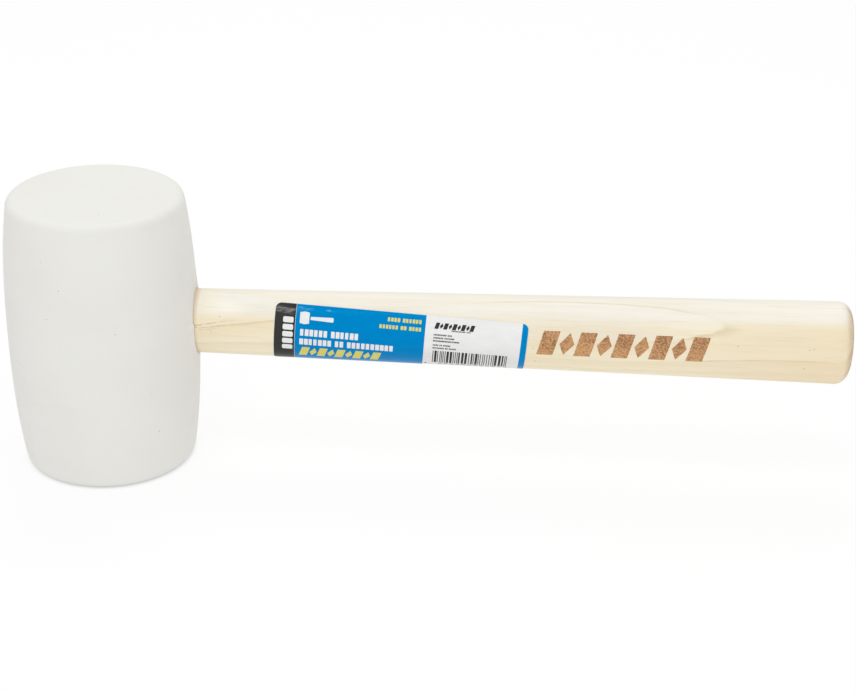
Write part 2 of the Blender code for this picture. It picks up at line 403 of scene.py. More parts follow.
def bare_wood(tree, place, late, line):
    """The wood's colour: warm below, paler above as sapwood and painted sheen, its rings, painted highlights
    near the neck and along the grip, and the grip's darker tone.
    """
    tone = grained(tree, place, 0.15, 55, 3)
    x, _, z = coordinates(tree, place)
    along_grip = step_up(tree, x, GRIP_TONE_START, GRIP_END_X)
    fade_low = EYE_HEIGHT - GRIP_TONE_FADE
    fade_high = EYE_HEIGHT + GRIP_TONE_FADE
    lower = step_up(tree, z, fade_low, fade_high, GRIP_TONE_BELOW, GRIP_TONE_ABOVE)
    warm = tinted(tree, (0.835, 0.735, 0.53), tone, 0.3, 0.7, 1, (0.865, 0.79, 0.61))
    warm = blend(tree, times(tree, along_grip, lower), warm, (0.80, 0.64, 0.41))
    warm = blend(tree, patch(tree, place, TONED_PATCH, TONED_REACH), warm, (0.765, 0.675, 0.53))
    warm = veined(tree, warm, late, 0.36, (0.76, 0.63, 0.40))

    pale = veined(tree, (0.79, 0.755, 0.67), late, 0.30, (0.745, 0.685, 0.535))
    # Painted highlight: a pale patch near the neck, and a pale band along the grip's upper side.
    painted_highlight = patch(tree, place, PAINTED_HIGHLIGHT_PATCH, PAINTED_HIGHLIGHT_REACH)
    painted_highlight = maths(tree, "MAXIMUM", painted_highlight, times(tree, along_grip, 0.4))
    pale = blend(tree, painted_highlight, pale, (0.89, 0.85, 0.75))

    # Paler above: sapwood, and partly a painted sheen on the handle's top.
    above = swayed(tree, add_scaled(tree, z, x, -SAP_AND_SHEEN_SLOPE), tone, SAP_AND_SHEEN_WANDER)
    sap_and_sheen = step_up(tree, above, EYE_HEIGHT + SAP_AND_SHEEN_START, EYE_HEIGHT + SAP_AND_SHEEN_FULL)
    broken = grained(tree, place, 0.3, 90, 2)
    drawn = times(tree, line, step_up(tree, broken, 0.42, 0.66, 0.0, 0.38))
    base = blend(tree, sap_and_sheen, warm, pale)
    return blend(tree, drawn, base, (0.56, 0.43, 0.24))


def pore_flecks(tree, place):
    """A mask of short dark flecks along the grain, in a few cells of a scatter."""
    away, chance = cells(tree, stretched(tree, place, 0.35), 120.0)
    return times(tree, step_up(tree, away, 0.02, 0.05, 1, 0), step_up(tree, chance, 0.88, 0.9))


def with_knots(tree, place, base):
    for x, drop in KNOTS:
        knot = step_up(tree, near_point(tree, place, x, drop), KNOT_CORE, KNOT_REACH, 0.5, 0)
        base = blend(tree, knot, base, (0.27, 0.16, 0.08))
    return base


def with_end_grain(tree, place, late, line, base):
    """Darker, open-pored wood with its rings across it, wherever the surface faces along the handle."""
    pores = speckle(tree, place, 1400, 3, 0.65)
    patchy = speckle(tree, place, 260, 2)
    end_tone = tinted(tree, (0.56, 0.40, 0.24), patchy, 0.35, 0.65, 1, (0.66, 0.49, 0.30))
    end_tone = veined(tree, end_tone, late, 0.6, (0.42, 0.28, 0.15))
    end_tone = veined(tree, end_tone, line, 0.7, (0.27, 0.16, 0.08))
    end_tone = tinted(tree, end_tone, pores, 0.52, 0.70, 0.75, (0.24, 0.14, 0.07))
    facing = coordinates(tree, put(tree, "TexCoord").outputs["Normal"])[0]
    end = step_up(tree, maths(tree, "ABSOLUTE", facing), 0.34, 0.92)
    return veined(tree, base, end, 0.9, end_tone)


def with_rubber_stain_and_shade(tree, place, base):
    """Wood yellowed near the head, and stained brown, with painted shade, where the rubber touches it."""
    from_axis = length_of(tree, stretched(tree, place, 1, 1, 0))
    yellowed = step_up(tree, from_axis, STAIN_START, YELLOWED_END, 0.3, 0)
    base = blend(tree, yellowed, base, (0.80, 0.69, 0.46))
    # The brown band at the eye is rubber stain and painted shade where the wood goes into the rubber.
    stain_and_shade = step_up(tree, from_axis, STAIN_START, STAIN_AND_SHADE_END, 0.55, 0)
    return blend(tree, stain_and_shade, base, (0.56, 0.36, 0.22))


def burnt_colour(tree, place):
    """Mottled brown char, darker towards the mark's top."""
    embers = grained(tree, place, 0.8, 1250, 2, 0.7)
    deeper = speckle(tree, place, 90, 2)
    rising = maths(tree, "SUBTRACT", coordinates(tree, place)[2], EYE_HEIGHT)
    heat = add_scaled(tree, add_scaled(tree, embers, deeper, 0.25), rising, BURN_RISE)
    return tinted(tree, (0.59, 0.31, 0.12), heat, 0.48, 0.84, 1, (0.23, 0.09, 0.026))


def pale_hardwood():
    """Sanded pale hardwood, with faint growth rings, fibres, pores, a split and the burnt mark."""
    material, tree, shader, place = new_material("pale_hardwood")
    late, line = growth(tree, place)
    fibres = grained(tree, place, 0.03, 1500, 3, 0.6)
    streaks = grained(tree, place, 0.02, 410, 3, 0.6)
    flecks = pore_flecks(tree, place)

    base = bare_wood(tree, place, late, line)
    base = tinted(tree, base, streaks, 0.48, 0.75, 0.24, (0.68, 0.55, 0.35))
    base = tinted(tree, base, fibres, 0.5, 0.8, 0.30, (0.64, 0.52, 0.33))
    base = veined(tree, base, flecks, 0.75, (0.25, 0.16, 0.09))
    base = with_knots(tree, place, base)
    base = with_end_grain(tree, place, late, line, base)
    base = with_rubber_stain_and_shade(tree, place, base)

    split = put(tree, "Attribute", attribute_name="split").outputs["Fac"]
    base = veined(tree, base, split, 0.75, (0.36, 0.23, 0.11))
    burn = put(tree, "Attribute", attribute_name="burn").outputs["Fac"]
    scorch = step_up(tree, swayed(tree, burn, fibres, 0.9), 0.42, 0.62)
    base = blend(tree, scorch, base, burnt_colour(tree, place))

    rough = add_scaled(tree, step_up(tree, fibres, 0.3, 0.8, 0.42, 0.60), scorch, 0.2)
    shader.inputs["Specular IOR Level"].default_value = 0.8
    height = add_scaled(tree, add_scaled(tree, fibres, streaks, 1.5), flecks, -2.0)
    dress(tree, shader, base, rough, height, 0.025 * MM, 0.5)
    return material


def wedge_hardwood():
    """The darker, coarser wood of the wedge, its fibres along its length."""
    material, tree, shader, place = new_material("wedge_hardwood")
    fibres = grained(tree, place, 0.06, 1300, 3, 0.65)
    bands = speckle(tree, stretched(tree, place, 0.1, 1, 0.3), 420, 2)
    base = tinted(tree, (0.40, 0.25, 0.13), fibres, 0.35, 0.7, 1, (0.60, 0.43, 0.25))
    base = tinted(tree, base, bands, 0.4, 0.65, 0.5, (0.50, 0.33, 0.18))
    dress(tree, shader, base, step_up(tree, fibres, 0.3, 0.8, 0.6, 0.8), fibres, 0.06 * MM, 0.7)
    return material


def wedge_steel():
    """Plain stamped steel with a dull skin, scratches and a little rust."""
    material, tree, shader, place = new_material("wedge_steel")
    rust = step_up(tree, speckle(tree, place, 420, 4, 0.65), 0.52, 0.66)
    scratches = grained(tree, place, 0.1, 2600, 2, 0.6)
    base = blend(tree, rust, (0.46, 0.46, 0.47), (0.24, 0.13, 0.08))
    feed(tree, shader.inputs["Metallic"], add_scaled(tree, 1.0, rust, -0.8))
    dress(tree, shader, base, step_up(tree, rust, 0, 1, 0.38, 0.8), scratches, 0.02 * MM, 0.6)
    return material


# Painted glare near the label's upper left corner, pale streaks in place of a softbox's reflection: how far
# along the handle, how far below its side line, and how large, in millimetres
PAINTED_GLARE_SPOTS = (
    (85.5, -12.2, 2.0),
    (90.0, -11.5, 2.3),
    (95.2, -12.6, 1.3),
    (99.5, -12.2, 1.3),
    (108.5, -11.9, 0.8),
)

# Painted shade darkens the vinyl where it wraps under the handle: the heights where this starts and is full,
# from the side line, and how much of its colour is left
LABEL_PAINTED_SHADE_START = 3 * MM
LABEL_PAINTED_SHADE_FULL = -16 * MM
LABEL_COLOUR_LEFT_IN_SHADE = 0.87


def vinyl(name, colour, tint=(1, 1, 1), glare_colour=None):
    """Glossy printed vinyl of one colour, with the faint ripples of a label pressed down by hand; its colour
    darkens with painted shade where it wraps beneath the handle, and, given a glare colour, it has painted
    glare near its upper left corner.
    """
    material, tree, shader, place = new_material(name)
    ripples = grained(tree, place, 0.25, 330, 3, 0.6)
    creases = grained(tree, place, 0.3, 900, 2, 0.6)
    faded = tuple(1.05 * part + 0.001 for part in colour)
    base = tinted(tree, colour, ripples, 0.35, 0.7, 1, faded)
    # Painted shade: the colour darkens where the vinyl wraps under the handle.
    painted_shade_low = EYE_HEIGHT + LABEL_PAINTED_SHADE_FULL
    painted_shade_high = EYE_HEIGHT + LABEL_PAINTED_SHADE_START
    painted_under_shade = step_up(tree, coordinates(tree, place)[2], painted_shade_low, painted_shade_high, LABEL_COLOUR_LEFT_IN_SHADE, 1)
    base = put(tree, "VectorMath", {0: base, 3: painted_under_shade}, operation="SCALE").outputs[0]
    # Painted glare: pale streaks near the upper left corner stand in for a softbox's reflection on the
    # glossy vinyl.
    if glare_colour:
        streaks = grained(tree, place, 0.16, 1300, 4, 0.65)
        streaks = step_up(tree, streaks, 0.40, 0.66)
        for x, drop, size in PAINTED_GLARE_SPOTS:
            away = near_point(tree, place, x, drop, 0.45, 1)
            painted_glare = step_up(tree, away, 0.3 * size * MM, size * MM, 0.9, 0)
            base = blend(tree, times(tree, painted_glare, streaks), base, glare_colour)
    shader.inputs["IOR"].default_value = 1.24
    shader.inputs["Specular Tint"].default_value = opaque(tint)
    rough = step_up(tree, creases, 0.3, 0.7, 0.06, 0.18)
    dress(tree, shader, base, rough, add_scaled(tree, ripples, creases, 0.4), 0.15 * MM, 0.6)
    return material


# The floor's own light, dimmed into a painted contact shadow where it is closed in, up to where it is open
FLOOR_SHADED = 0.45
FLOOR_LIT = 0.83
FLOOR_SHADE_REACH = 5 * MM


def pale_floor():
    """A lit studio sweep: mostly its own light, so that shadows on it stay faint, with a painted contact
    shadow where the mallet stands close to it.
    """
    material, tree, shader, _ = new_material("pale_floor")
    shader.inputs["Base Color"].default_value = (0.15, 0.15, 0.15, 1)
    shader.inputs["Roughness"].default_value = 0.9
    shader.inputs["Specular IOR Level"].default_value = 0.1
    shader.inputs["Emission Color"].default_value = (1, 1, 1, 1)
    # Painted contact shadow: the floor's own light dims where things stand close to it.
    openness = put(tree, "AmbientOcclusion", {"Distance": FLOOR_SHADE_REACH}, samples=8).outputs["AO"]
    glow_with_painted_shadow = step_up(tree, openness, 0.0, 0.6, FLOOR_SHADED, FLOOR_LIT)
    feed(tree, shader.inputs["Emission Strength"], glow_with_painted_shadow)
    return material


# ---- mesh helpers


def add_object(name, data):
    added = bpy.data.objects.new(name, data)
    bpy.context.scene.collection.objects.link(added)
    return added


def add_piece(name, mesh, material, slot, *nodes):
    piece = add_object(name, mesh)
    mesh.materials.append(material)
    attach(piece, "root")
    if nodes:
        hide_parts(*nodes)
    return piece


def finished(name, shape):
    mesh = bpy.data.meshes.new(name)
    shape.to_mesh(mesh)
    shape.free()
    return mesh


def slice_up(shape, axis, places, snap=0.0):
    """Divides a shape's faces by planes across one axis."""
    plane = Vector([1.0 if i == axis else 0.0 for i in range(3)])
    for place in places:
        geometry = list(shape.verts) + list(shape.edges) + list(shape.faces)
        bmesh.ops.bisect_plane(shape, geom=geometry, dist=snap, plane_co=plane * place, plane_no=plane)


def shade(mesh):
    mesh.shade_smooth()
    mesh.set_sharp_from_angle(angle=SMOOTH_ANGLE)


def spaced(start, end, step):
    """Values from start up to but not including end, about one step apart."""
    count = max(1, round((end - start) / step))
    return [start + (end - start) * i / count for i in range(count)]


def ring_mesh(name, rings, poles):
    """A closed skin over rings of points, given as an array (ring, point, xyz), and a pole at each end."""
    count, around = rings.shape[:2]
    points = np.concatenate([rings.reshape(-1, 3), np.array(poles)])
    index = np.arange(count * around).reshape(count, around)
    onward = np.roll(index, -1, axis=1)
    quads = np.stack([index[:-1], onward[:-1], onward[1:], index[1:]], axis=-1).reshape(-1, 4)
    first, last = count * around, count * around + 1
    caps = [(first, int(b), int(a)) for a, b in zip(index[0], onward[0])]
    caps += [(last, int(a), int(b)) for a, b in zip(index[-1], onward[-1])]
    mesh = bpy.data.meshes.new(name)
    mesh.from_pydata(points.tolist(), [], quads.tolist() + caps)
    mesh.update()
    return mesh


def cut_away(piece, cutter_mesh):
    """Cuts a closed mesh out of a piece and leaves only the result."""
    cutter = add_object("cutter", cutter_mesh)
    boolean = piece.modifiers.new("cut", "BOOLEAN")
    boolean.operation = "DIFFERENCE"
    boolean.object = cutter
    evaluated = piece.evaluated_get(bpy.context.evaluated_depsgraph_get())
    result = bpy.data.meshes.new_from_object(evaluated)
    piece.modifiers.clear()
    piece.data = result
    bpy.data.objects.remove(cutter)


# ---- the head


def tapered(neck, grip, x):
    return neck + (grip - neck) * (x - NECK_X) / (GRIP_END_X - NECK_X)


def oval_half_height(x):
    return tapered(NECK_HALF_HEIGHT, GRIP_HALF_HEIGHT, x)


def oval_half_width(x):
    return tapered(NECK_HALF_WIDTH, GRIP_HALF_WIDTH, x)


def barrel_radius(height):
    """Radius of the head's side at this height above its middle."""
    reach = abs(height) / (HEAD_LENGTH / 2)
    return HEAD_MID_RADIUS - HEAD_BULGE * reach**HEAD_BULGE_POWER


def barrel_profile():
    """(radius, height, normal's radial part, normal's upward part) down the head's outline."""
    half = HEAD_LENGTH / 2
    side_angle = math.atan(HEAD_BULGE * HEAD_BULGE_POWER / half)
    side_top = half - HEAD_RIM_ROUNDING * (1 - math.sin(side_angle))
    rim_centre = barrel_radius(side_top) - HEAD_RIM_ROUNDING * math.cos(side_angle)

    upper = [(radius, half, 0, 1) for radius in spaced(FACE_CENTRE_GAP, rim_centre, HEAD_STEP)]
    for angle in spaced(math.pi / 2, side_angle, -ROUNDING_TURN):
        radius = rim_centre + HEAD_RIM_ROUNDING * math.cos(angle)
        height = half - HEAD_RIM_ROUNDING * (1 - math.sin(angle))
        upper.append((radius, height, math.cos(angle), math.sin(angle)))
    lower = [(radius, -height, out, -up) for radius, height, out, up in reversed(upper)]

    eye_middle = EYE_HEIGHT - HEAD_LENGTH / 2
    eye_top = eye_middle + NECK_HALF_HEIGHT + EYE_MARGIN
    eye_bottom = eye_middle - NECK_HALF_HEIGHT - EYE_MARGIN
    heights = spaced(side_top, eye_top, -HEAD_SIDE_STEP)
    heights += spaced(eye_top, eye_bottom, -HEAD_EYE_STEP)
    heights += spaced(eye_bottom, -side_top, -HEAD_SIDE_STEP)
    side = []
    for height in heights:
        reach = abs(height) / half
        slope = HEAD_BULGE * HEAD_BULGE_POWER * reach ** (HEAD_BULGE_POWER - 1) / half
        tilt = math.copysign(math.atan(slope), height)
        side.append((barrel_radius(height), height, math.cos(tilt), math.sin(tilt)))
    return upper + side + lower


def barrel_angles():
    """Angles round the head, closer together where the eye opens on +X and on -X."""
    angles = []
    for middle in (0, math.pi):
        fine_end = middle + HEAD_EYE_HALF_TURN
        angles += spaced(middle - HEAD_EYE_HALF_TURN, fine_end, HEAD_EYE_TURN)
        angles += spaced(fine_end, middle + math.pi - HEAD_EYE_HALF_TURN, HEAD_TURN)
    return angles


def head_unevenness(x, y, z):
    """Slow waves in the moulded skin, in metres along its normal."""
    slow = noise.noise(Vector((x, y, z)) * 34)
    quick = noise.noise(Vector((x, y, z)) * 150 + Vector((7, 3, 5)))
    return 0.05 * MM * slow + 0.012 * MM * quick


def eye_shift(x, y, z):
    """How far the rubber stands out near the eye: swollen by the tenon on +X, rounded at the edge."""
    half_height = oval_half_height(x)
    half_width = oval_half_width(x)
    reach = math.hypot(y / half_width, (z - EYE_HEIGHT) / half_height)
    outside = (reach - 1) * math.hypot(y, z - EYE_HEIGHT) / max(reach, 0.01)
    shift = 0.0
    if x > 0:
        sideways = min(abs(y) / half_width, 1) ** 2
        below = (EYE_HEIGHT + EYE_NOTCH_HEIGHT - z) / MM
        swell = EYE_SWELL + EYE_SIDE_SWELL * sideways
        if y < 0:
            swell += EYE_LOWER_SWELL / (1 + math.exp(-3 * below))
            shift += EYE_NOTCH * math.exp(-1.5 * below**2 - max(outside, 0) / EYE_NOTCH_REACH)
        shift += swell * math.exp(-max(outside, 0) / EYE_SWELL_REACH)
    into = min(max(EYE_LIP_ROUNDING - outside, 0), EYE_LIP_ROUNDING)
    return shift - EYE_LIP_ROUNDING + math.sqrt(EYE_LIP_ROUNDING**2 - into**2)


def head_point(radius, height, out, up, angle):
    """A point of the head's skin, moved along its normal; the faces and rims only ever sink."""
    x = radius * math.cos(angle)
    y = radius * math.sin(angle)
    z = height + HEAD_LENGTH / 2
    shift = head_unevenness(x, y, z)
    if abs(math.sin(angle)) < 0.5 and abs(z - EYE_HEIGHT) < EYE_SHIFT_REACH:
        shift += eye_shift(x, y, z)
    if out == 0 or abs(height) > HEAD_LENGTH / 2 - HEAD_RIM_ROUNDING:
        shift = min(shift, 0)
    return x + shift * out * math.cos(angle), y + shift * out * math.sin(angle), z + shift * up


def make_head(rubber):
    angles = barrel_angles()
    rings = [[head_point(*place, angle) for angle in angles] for place in barrel_profile()]
    poles = [(0, 0, HEAD_LENGTH), (0, 0, 0)]
    mesh = ring_mesh("head_rubber", np.array(rings), poles)
    head = add_piece("head_rubber", mesh, rubber, "white_rubber", "head")
    cut_away(head, eye_cutter())
    shade(head.data)


def oval_ring(x, half_height, half_width, angles):
    """Points round the handle's oval, the angle counted from its top towards -Y."""
    points = []
    for angle in angles:
        points.append((x, -half_width * math.sin(angle), EYE_HEIGHT + half_height * math.cos(angle)))
    return points


def eye_cutter():
    """The handle's own taper, a little larger, run out past both sides of the head."""
    angles = [math.tau * i / 180 for i in range(180)]
    rings = []
    reach = HEAD_MID_RADIUS + CUTTER_OVERRUN
    for x in spaced(-reach, reach, CUTTER_STEP):
        rings.append(oval_ring(x, oval_half_height(x) + EYE_GAP, oval_half_width(x) + EYE_GAP, angles))
    ends = [(rings[0][0][0], 0, EYE_HEIGHT), (rings[-1][0][0], 0, EYE_HEIGHT)]
    return ring_mesh("eye_cutter", np.array(rings), ends)


# ---- the handle


def arcs_from_side(x, angles):
    """Distances round the oval from its -Y side line to an array of angles."""
    share = np.linspace(0, 1, 33)
    swept = math.pi / 2 + (angles[..., None] - math.pi / 2) * share
    rise = oval_half_height(x)[..., None] * np.sin(swept)
    run = oval_half_width(x)[..., None] * np.cos(swept)
    return np.trapz(np.hypot(rise, run), swept, axis=-1)


def motif_elements():
    """(middle, half width, is a lozenge) of each shape in the mark, for a mark of unit height."""
    elements = []
    for i in range(-4, 5):
        lozenge = i % 2 == 1
        elements.append((i * MOTIF_PITCH, MOTIF_LOZENGE_HALF if lozenge else MOTIF_BAR_HALF, lozenge))
    return elements


def mark_distance(along, across):
    """Signed distance to the burnt mark, a row of leaning bars with lozenges between them."""
    nearest = np.full_like(along, 1.0)
    for middle, half_width, lozenge in motif_elements():
        beside = np.abs(along - middle * MARK_HEIGHT + MOTIF_SLANT * across)
        if lozenge:
            distance = beside + np.abs(across) * half_width / MOTIF_LOZENGE_RISE - half_width * MARK_HEIGHT
        else:
            distance = np.maximum(beside - half_width * MARK_HEIGHT, np.abs(across) - MARK_HEIGHT / 2)
        nearest = np.minimum(nearest, distance)
    return nearest


# The split beside the head: (distance along the handle, distance below its side line), in millimetres
SPLITS = (
    ((44.0, -2.0), (47.0, -2.5), (50.5, -3.2), (54.7, -4.0), (58.5, -4.9), (62.0, -5.3), (72.0, -5.7)),
    ((44.0, -1.2), (51.0, -1.5), (55.7, -2.3), (62.0, -3.7), (70.0, -4.6), (83.0, -6.7)),
    ((47.0, -0.2), (50.0, -0.3), (54.0, -1.0), (60.0, -1.9)),
)
SPLIT_WIDTHS = (0.24 * MM, 0.16 * MM, 0.14 * MM)
SPLIT_WANDER = 0.4 * MM
SPLIT_DEPTH = 0.06 * MM
SPLIT_HIDDEN_END = 40 * MM

# The sanded surface's slow waves, and how soon they and the marks set in from either end
WAVE_SCALES = np.array((12, 60, 60)) / METRE
WAVE_DEPTH = 0.04 * MM
SHAPING_EASE = 3 * MM


def split_amount(x, drop):
    """How much of a split there is at each point, from 0 to 1; it thins out away from the head."""
    amount = np.zeros_like(x)
    for line, width in zip(SPLITS, SPLIT_WIDTHS):
        along, below = np.array(line).T * MM
        ragged = np.array([[noise.noise(Vector((place * 700, width * 1e5, 0)))] for place in x[:, 0]])
        broken = np.array([[noise.noise(Vector((place * 450, width * 1e5, 9)))] for place in x[:, 0]])
        nearest = np.abs(drop - np.interp(x, along, below) - SPLIT_WANDER * ragged)
        fading = np.clip((along[-1] - x) / (along[-1] - along[0]), 0, 1) * (x > along[0])
        fading = fading * np.clip(0.75 + 1.3 * broken, 0.3, 1)
        amount = np.maximum(amount, fading * np.clip(1.6 - nearest / width, 0, 1))
    return amount


def handle_angles():
    """Angles round the handle, closer together on the side that carries the split and the mark."""
    fine = spaced(HANDLE_FINE_START, HANDLE_FINE_END, HANDLE_FINE_TURN)
    return fine + spaced(HANDLE_FINE_END, HANDLE_FINE_START + math.tau, HANDLE_TURN)


def same_shape(x, half_height):
    """(x, half height, half width) of an oval as deep for its height as the handle is there."""
    return x, half_height, half_height * oval_half_width(x) / oval_half_height(x)


def handle_stations():
    """(x, half height, half width) of the handle's rings, from the tenon's end to the grip's end."""
    x = TENON_END_X
    half_height = oval_half_height(x) - TENON_CHAMFER
    stations = [same_shape(x, half_height * share) for share in spaced(0.04, 1, 0.08)]
    stations.append((x, half_height, oval_half_width(x) - TENON_CHAMFER))
    runs = (
        (TENON_END_X + TENON_CHAMFER, SPLIT_FINE_START, TENON_STEP),
        (SPLIT_FINE_START, SPLIT_FINE_END, SPLIT_STEP),
        (SPLIT_FINE_END, MARK_X - MARK_REACH, HANDLE_STEP),
        (MARK_X - MARK_REACH, MARK_X + MARK_REACH, MARK_STEP),
        (MARK_X + MARK_REACH, GRIP_ROUNDING_START, HANDLE_STEP),
    )
    for start, end, step in runs:
        stations += [same_shape(x, oval_half_height(x)) for x in spaced(start, end, step)]
    end_half_height = oval_half_height(GRIP_ROUNDING_START) - GRIP_ROUNDING_DEPTH
    for angle in spaced(0, math.pi / 2, ROUNDING_TURN):
        x = GRIP_ROUNDING_START + GRIP_ROUNDING_LENGTH * math.sin(angle)
        stations.append(same_shape(x, end_half_height + GRIP_ROUNDING_DEPTH * math.cos(angle)))
    stations += [same_shape(GRIP_END_X, end_half_height * share) for share in spaced(1, 0.04, -0.08)]
    return stations


def make_handle(wood):
    stations = np.array(handle_stations())
    angles = np.array(handle_angles())
    x, half_height, half_width = (stations[:, None, i] for i in range(3))
    body = np.clip((x - TENON_END_X) / SHAPING_EASE, 0, 1)
    body = body * np.clip((GRIP_ROUNDING_START - x) / SHAPING_EASE, 0, 1)
    grid_x = x + 0 * angles
    drop = arcs_from_side(grid_x, angles + 0 * grid_x)
    near_side = np.sin(angles) > 0
    burn = np.clip(0.5 - mark_distance(grid_x - MARK_X, drop - MARK_DROP) / BURN_EDGE, 0, 1) * near_side
    split = split_amount(grid_x, drop) * near_side * (grid_x > SPLIT_HIDDEN_END)

    y = -half_width * np.sin(angles)
    z = EYE_HEIGHT + half_height * np.cos(angles)
    points = np.stack([grid_x, y, z], axis=-1)
    normal = np.stack([0 * grid_x, -np.sin(angles) / half_width, np.cos(angles) / half_height], axis=-1)
    normal /= np.linalg.norm(normal, axis=-1, keepdims=True)
    waves = np.array([[noise.noise(Vector(point * WAVE_SCALES)) for point in row] for row in points])
    shift = -SPLIT_DEPTH * split - BURN_DEPTH * burn + WAVE_DEPTH * (waves - 1)
    points += normal * (shift * body)[..., None]

    poles = [(TENON_END_X, 0, EYE_HEIGHT), (GRIP_END_X, 0, EYE_HEIGHT)]
    mesh = ring_mesh("handle_wood", points, poles)
    for name, values in (("burn", burn), ("split", split)):
        attribute = mesh.attributes.new(name, "FLOAT", "POINT")
        attribute.data.foreach_set("value", np.append(values.ravel(), [0, 0]).astype(np.float32))
    handle = add_piece("handle_wood", mesh, wood, "pale_hardwood", "handle")
    cut_away(handle, kerf_cutter())
    for offset in (STEEL_WEDGE_OFFSET, -STEEL_WEDGE_OFFSET):
        cut_away(handle, steel_slot(offset))
    shade(handle.data)


# ---- the wedges


def wedge_mesh(name, length, half_height, half_head, half_tip, gap=0.0, overrun=0.0):
    """A wedge with its head at x = 0, its tip towards +X and its thickness in Y."""
    thinning = (half_head - half_tip) / length
    shape = bmesh.new()
    bmesh.ops.create_cube(shape, size=2.0)
    for vertex in shape.verts:
        x = length + gap if vertex.co.x > 0 else -overrun
        vertex.co.x = x
        vertex.co.y *= half_head - thinning * x + gap
        vertex.co.z *= half_height + gap
    return finished(name, shape)


def kerf_cutter():
    mesh = wedge_mesh("kerf_cutter", *KERF, WEDGE_GAP, CUTTER_OVERRUN)
    mesh.transform(Matrix.Translation((TENON_END_X, 0, EYE_HEIGHT)))
    return mesh


def steel_wedge_mesh(name, offset, gap=0.0, overrun=0.0):
    mesh = wedge_mesh(name, *STEEL_WEDGE, gap, overrun)
    mesh.transform(Matrix.Rotation(math.radians(90), 4, "X"))
    mesh.transform(Matrix.Translation((TENON_END_X, 0, EYE_HEIGHT + offset)))
    return mesh


def steel_slot(offset):
    return steel_wedge_mesh("steel_slot", offset, gap=WEDGE_GAP, overrun=CUTTER_OVERRUN)


def weather(mesh, cuts, bevel, roughness, seed):
    """Softens a wedge's edges, divides its faces and roughens them, most at its struck head."""
    shape = bmesh.new()
    shape.from_mesh(mesh)
    bmesh.ops.bevel(shape, geom=list(shape.edges), offset=bevel, segments=2, affect="EDGES", profile=0.5)
    for axis, step in cuts:
        low = min(vertex.co[axis] for vertex in shape.verts)
        high = max(vertex.co[axis] for vertex in shape.verts)
        slice_up(shape, axis, spaced(low, high, step)[1:])
    shape.normal_update()
    moves = []
    for vertex in shape.verts:
        struck = 1 + 2 * max(0, 1 - (vertex.co.x - TENON_END_X) / STRUCK_REACH)
        bump = noise.noise(vertex.co * 700 + Vector((seed, 0, 0)))
        moves.append(vertex.normal * (roughness * struck * (bump - 0.6)))
    for vertex, move in zip(shape.verts, moves):
        vertex.co += move
    shape.to_mesh(mesh)
    shape.free()
    shade(mesh)


def make_wedges(wood, steel):
    mesh = wedge_mesh("wood_wedge_piece", *WOOD_WEDGE)
    mesh.transform(Matrix.Translation((TENON_END_X, 0, EYE_HEIGHT)))
    weather(mesh, ((2, 0.8 * MM), (1, 0.5 * MM)), 0.25 * MM, 0.05 * MM, 3)
    wedge = add_piece("wood_wedge_piece", mesh, wood, "wedge_hardwood", "wood_wedge")
    for offset in (STEEL_WEDGE_OFFSET, -STEEL_WEDGE_OFFSET):
        cut_away(wedge, steel_slot(offset))
    for place, offset in (("upper", STEEL_WEDGE_OFFSET), ("lower", -STEEL_WEDGE_OFFSET)):
        name = "steel_wedge_piece_" + place
        mesh = steel_wedge_mesh(name, offset)
        weather(mesh, ((1, 0.6 * MM), (2, 0.4 * MM)), 0.18 * MM, 0.03 * MM, 11 if offset > 0 else 17)
        add_piece(name, mesh, steel, "wedge_steel", "steel_wedge_" + place)


# ---- the label


def angle_after(x, arc):
    """Angle from the handle's top once this arc is walked down its outline from the -Y side."""
    angle = math.pi / 2
    for _ in range(WALK_STEPS):
        turn_radius = math.hypot(oval_half_height(x) * math.sin(angle), oval_half_width(x) * math.cos(angle))
        angle += arc / WALK_STEPS / turn_radius
    return angle


def wrapped(u, v, clearance):
    """Where a point of the flat label lands, u right of and v below its top left corner."""
    along = u - LABEL_LENGTH / 2
    down = v - LABEL_HEIGHT / 2
    lean = math.sin(LABEL_SKEW) + LABEL_LEAN + LABEL_LEAN_GROWTH * along
    x = LABEL_CENTRE_X + along * math.cos(LABEL_SKEW) - down * lean
    arc = LABEL_CENTRE_DROP + down * math.cos(LABEL_SKEW) + along * math.sin(LABEL_SKEW)
    angle = angle_after(x, arc)
    ripple = LABEL_RIPPLE * noise.noise(Vector((x * 60, arc * 260, 4.0)))
    lift = clearance + max(ripple, 0)
    y = -(oval_half_width(x) + lift) * math.sin(angle)
    z = EYE_HEIGHT + (oval_half_height(x) + lift) * math.cos(angle)
    return x, y, z


def block(u, v, width, height, radius=0.0, slant=0.0):
    """A bar's outline, in metres from millimetres, its corners rounded and its ends leaning by slant."""
    corners = []
    for corner, (right, low) in enumerate(((1, 1), (0, 1), (0, 0), (1, 0))):
        for step in range(5 if radius else 1):
            turn = math.pi / 2 * (corner + step / 4)
            cu = u + (width - radius if right else radius) + radius * math.cos(turn)
            cv = v + (height - radius if low else radius) + radius * math.sin(turn)
            corners.append(((cu + slant * (v + height / 2 - cv)) * MM, cv * MM))
    return corners


